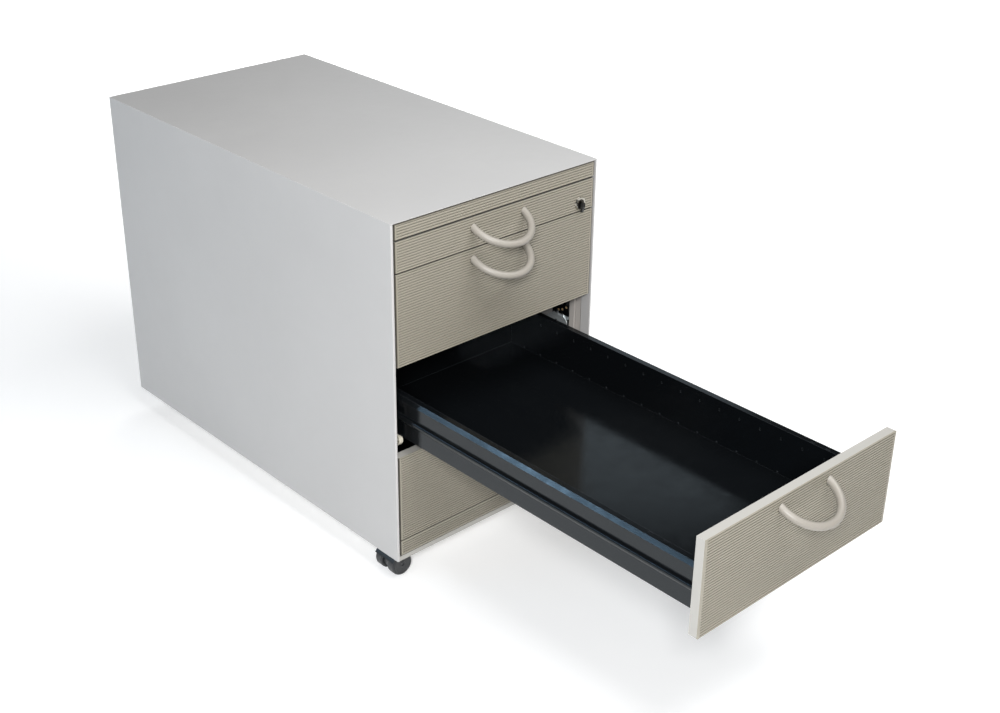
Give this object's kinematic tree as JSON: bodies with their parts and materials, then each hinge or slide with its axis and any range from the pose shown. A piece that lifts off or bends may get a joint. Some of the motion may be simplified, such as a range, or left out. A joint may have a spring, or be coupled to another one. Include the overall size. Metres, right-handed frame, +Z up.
{
  "type": "mobile filing cabinet",
  "caption": "Grey sheet-steel mobile filing pedestal with ribbed beige drawer fronts, bow handles, a pencil drawer, a key lock and twin-wheel castors; one drawer stands open.",
  "frame": {"origin": "centre of the carcass footprint, on the floor", "axes": "+Z up, -Y out of the drawer fronts, +X to the right as seen from the front"},
  "size_m": [0.43, 1.4659, 0.635],
  "materials": {
    "wall_paint": "satin light grey powder coat",
    "pan_paint": "satin warm light grey powder coat",
    "front_skin": "satin beige grey coat, ribbed",
    "handle_paint": "satin beige grey coat",
    "black_paint": "semi-gloss black coat",
    "nylon": "cream nylon",
    "zinc": "zinc plated",
    "steel": "plain steel",
    "chrome": "polished",
    "black_plastic": "fine matt black",
    "castor_plastic": "smooth dark grey plastic"
  },
  "bodies": {
    "carcass": {"carcass_shell": "wall_paint", "back_panel": "wall_paint", "base_pan": "pan_paint", "front_posts": "pan_paint", "uprights": "black_paint", "top_strip": "pan_paint", "plinth_strip": "pan_paint", "strip_skins": "front_skin", "runner_rails_left": "black_paint", "runner_rails_right": "black_paint", "front_roller_pins": "zinc", "rail_rivets": "zinc", "back_panel_rivets": "steel", "counterweight": "steel", "castor_sockets": "steel"},
    "drawer_1": {"drawer_1_sides": "black_paint", "drawer_1_tray": "black_paint", "drawer_1_front": "pan_paint", "drawer_1_skin": "front_skin", "drawer_1_handle": "handle_paint", "drawer_1_fixings": "zinc", "pencil_tray": "black_plastic", "lock_housing": "chrome"},
    "front_rollers_1": {"front_rollers_1": "nylon"},
    "rear_rollers_1": {"rear_rollers_1": "nylon"},
    "drawer_2": {"drawer_2_sides": "black_paint", "drawer_2_tray": "black_paint", "drawer_2_front": "pan_paint", "drawer_2_skin": "front_skin", "drawer_2_handle": "handle_paint", "drawer_2_fixings": "zinc"},
    "front_rollers_2": {"front_rollers_2": "nylon"},
    "rear_rollers_2": {"rear_rollers_2": "nylon"},
    "drawer_3": {"drawer_3_sides": "black_paint", "drawer_3_tray": "black_paint", "drawer_3_front": "pan_paint", "drawer_3_skin": "front_skin", "drawer_3_handle": "handle_paint", "drawer_3_fixings": "zinc"},
    "front_rollers_3": {"front_rollers_3": "nylon"},
    "rear_rollers_3": {"rear_rollers_3": "nylon"},
    "drawer_4": {"drawer_4_sides": "black_paint", "drawer_4_tray": "black_paint", "drawer_4_front": "pan_paint", "drawer_4_skin": "front_skin", "drawer_4_handle": "handle_paint", "drawer_4_fixings": "zinc"},
    "front_rollers_4": {"front_rollers_4": "nylon"},
    "rear_rollers_4": {"rear_rollers_4": "nylon"},
    "lock_plug": {"lock_plug": "steel"},
    "key_bow": {"key_bow": "black_plastic"},
    "lock_bar": {"lock_bar": "zinc"},
    "castor_front_left": {"castor_front_left_body": "castor_plastic"},
    "castor_front_left_wheels": {"castor_front_left_wheels": "castor_plastic"},
    "castor_front_right": {"castor_front_right_body": "castor_plastic"},
    "castor_front_right_wheels": {"castor_front_right_wheels": "castor_plastic"},
    "castor_rear_left": {"castor_rear_left_body": "castor_plastic"},
    "castor_rear_left_wheels": {"castor_rear_left_wheels": "castor_plastic"},
    "castor_rear_right": {"castor_rear_right_body": "castor_plastic"},
    "castor_rear_right_wheels": {"castor_rear_right_wheels": "castor_plastic"}
  },
  "joints": [
    {"name": "pencil_drawer_slide", "type": "slide", "parent": "carcass", "child": "drawer_1", "axis": [0, -1, 0], "range_m": [0, 0.612]},
    {"name": "drawer_2_slide", "type": "slide", "parent": "carcass", "child": "drawer_2", "axis": [0, -1, 0], "range_m": [0, 0.612]},
    {"name": "drawer_3_slide", "type": "slide", "parent": "carcass", "child": "drawer_3", "axis": [0, -1, 0], "range_m": [-0.612, 0]},
    {"name": "drawer_4_slide", "type": "slide", "parent": "carcass", "child": "drawer_4", "axis": [0, -1, 0], "range_m": [0, 0.612]},
    {"name": "front_rollers_1_turn", "type": "hinge", "parent": "carcass", "child": "front_rollers_1", "pos_m": [0, -0.35, 0.57628], "axis": [1, 0, 0], "continuous": true},
    {"name": "rear_rollers_1_turn", "type": "hinge", "parent": "drawer_1", "child": "rear_rollers_1", "pos_m": [0, 0.3535, 0.57628], "axis": [1, 0, 0], "continuous": true},
    {"name": "front_rollers_2_turn", "type": "hinge", "parent": "carcass", "child": "front_rollers_2", "pos_m": [0, -0.371, 0.41132], "axis": [1, 0, 0], "continuous": true},
    {"name": "rear_rollers_2_turn", "type": "hinge", "parent": "drawer_2", "child": "rear_rollers_2", "pos_m": [0, 0.3535, 0.41132], "axis": [1, 0, 0], "continuous": true},
    {"name": "front_rollers_3_turn", "type": "hinge", "parent": "carcass", "child": "front_rollers_3", "pos_m": [0, -0.371, 0.25436], "axis": [1, 0, 0], "continuous": true},
    {"name": "rear_rollers_3_turn", "type": "hinge", "parent": "drawer_3", "child": "rear_rollers_3", "pos_m": [0, -0.2585, 0.25436], "axis": [1, 0, 0], "continuous": true},
    {"name": "front_rollers_4_turn", "type": "hinge", "parent": "carcass", "child": "front_rollers_4", "pos_m": [0, -0.371, 0.0974], "axis": [1, 0, 0], "continuous": true},
    {"name": "rear_rollers_4_turn", "type": "hinge", "parent": "drawer_4", "child": "rear_rollers_4", "pos_m": [0, 0.3535, 0.0974], "axis": [1, 0, 0], "continuous": true},
    {"name": "key_turn", "type": "hinge", "parent": "drawer_1", "child": "lock_plug", "pos_m": [0.1785, -0.3995, 0.56758], "axis": [0, 1, 0], "range_deg": [0, 90]},
    {"name": "key_bow_fold", "type": "hinge", "parent": "lock_plug", "child": "key_bow", "pos_m": [0.1785, -0.4063, 0.56758], "axis": [-1, 0, 0], "range_deg": [0, 90]},
    {"name": "lock_bar_lift", "type": "slide", "parent": "carcass", "child": "lock_bar", "axis": [0, 0, 1], "range_m": [0, 0.008]},
    {"name": "castor_front_left_swivel", "type": "hinge", "parent": "carcass", "child": "castor_front_left", "pos_m": [-0.173, -0.358, 0.04], "axis": [0, 0, 1], "continuous": true},
    {"name": "castor_front_left_roll", "type": "hinge", "parent": "castor_front_left", "child": "castor_front_left_wheels", "pos_m": [-0.191, -0.358, 0.02], "axis": [0, 1, 0], "continuous": true},
    {"name": "castor_front_right_swivel", "type": "hinge", "parent": "carcass", "child": "castor_front_right", "pos_m": [0.173, -0.358, 0.04], "axis": [0, 0, 1], "continuous": true},
    {"name": "castor_front_right_roll", "type": "hinge", "parent": "castor_front_right", "child": "castor_front_right_wheels", "pos_m": [0.155, -0.358, 0.02], "axis": [0, 1, 0], "continuous": true},
    {"name": "castor_rear_left_swivel", "type": "hinge", "parent": "carcass", "child": "castor_rear_left", "pos_m": [-0.155, 0.34, 0.04], "axis": [0, 0, 1], "continuous": true},
    {"name": "castor_rear_left_roll", "type": "hinge", "parent": "castor_rear_left", "child": "castor_rear_left_wheels", "pos_m": [-0.137, 0.34, 0.02], "axis": [0, 1, 0], "continuous": true},
    {"name": "castor_rear_right_swivel", "type": "hinge", "parent": "carcass", "child": "castor_rear_right", "pos_m": [0.155, 0.34, 0.04], "axis": [0, 0, 1], "continuous": true},
    {"name": "castor_rear_right_roll", "type": "hinge", "parent": "castor_rear_right", "child": "castor_rear_right_wheels", "pos_m": [0.173, 0.34, 0.02], "axis": [0, 1, 0], "continuous": true}
  ],
  "couplings": [
    {"joint": "front_rollers_1_turn", "follows": "pencil_drawer_slide", "rad_per_m": 100},
    {"joint": "rear_rollers_1_turn", "follows": "pencil_drawer_slide", "rad_per_m": 100},
    {"joint": "front_rollers_2_turn", "follows": "drawer_2_slide", "rad_per_m": 100},
    {"joint": "rear_rollers_2_turn", "follows": "drawer_2_slide", "rad_per_m": 100},
    {"joint": "front_rollers_3_turn", "follows": "drawer_3_slide", "rad_per_m": 100},
    {"joint": "rear_rollers_3_turn", "follows": "drawer_3_slide", "rad_per_m": 100},
    {"joint": "front_rollers_4_turn", "follows": "drawer_4_slide", "rad_per_m": 100},
    {"joint": "rear_rollers_4_turn", "follows": "drawer_4_slide", "rad_per_m": 100},
    {"joint": "key_turn", "follows": "lock_bar_lift", "rad_per_m": 196.3}
  ]
}
